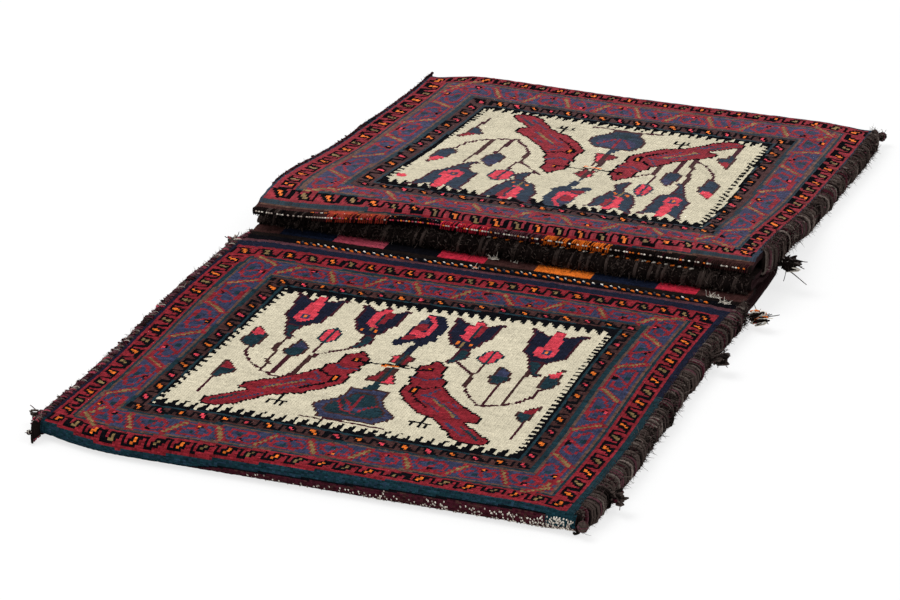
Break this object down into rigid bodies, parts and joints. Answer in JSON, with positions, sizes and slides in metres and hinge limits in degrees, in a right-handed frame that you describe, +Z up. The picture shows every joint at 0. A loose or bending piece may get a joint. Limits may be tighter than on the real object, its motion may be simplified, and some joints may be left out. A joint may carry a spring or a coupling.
{
  "type": "saddle bag",
  "caption": "Double saddle bag woven as one folded strip, with two pattern-faced pouches whose mouths meet at a folded bridge, and side edges bound with dark goat hair.",
  "frame": {"origin": "middle of the bag's box, on the ground", "axes": "+X across the bag, +Y from the front pouch to the rear pouch, +Z up from the ground"},
  "size_m": [0.5826, 1.0392, 0.0508],
  "materials": {
    "wool": "matte pile",
    "goat_hair": "matte",
    "cotton": "matte"
  },
  "bodies": {
    "root": {"woven_strip": "wool", "front_left_binding": "goat_hair", "front_right_binding": "goat_hair", "rear_left_binding": "goat_hair", "rear_right_binding": "goat_hair", "front_mouth_hem": "goat_hair", "rear_mouth_hem": "goat_hair", "front_left_knot": "cotton", "front_right_knot": "goat_hair", "rear_left_knot": "goat_hair", "rear_right_knot": "goat_hair", "fray_right_front": "goat_hair", "fray_right_fold": "goat_hair", "fray_right_mouth": "goat_hair", "fray_right_rear": "goat_hair", "fray_left_mouth": "goat_hair", "fray_left_fold": "goat_hair"}
  },
  "joints": []
}
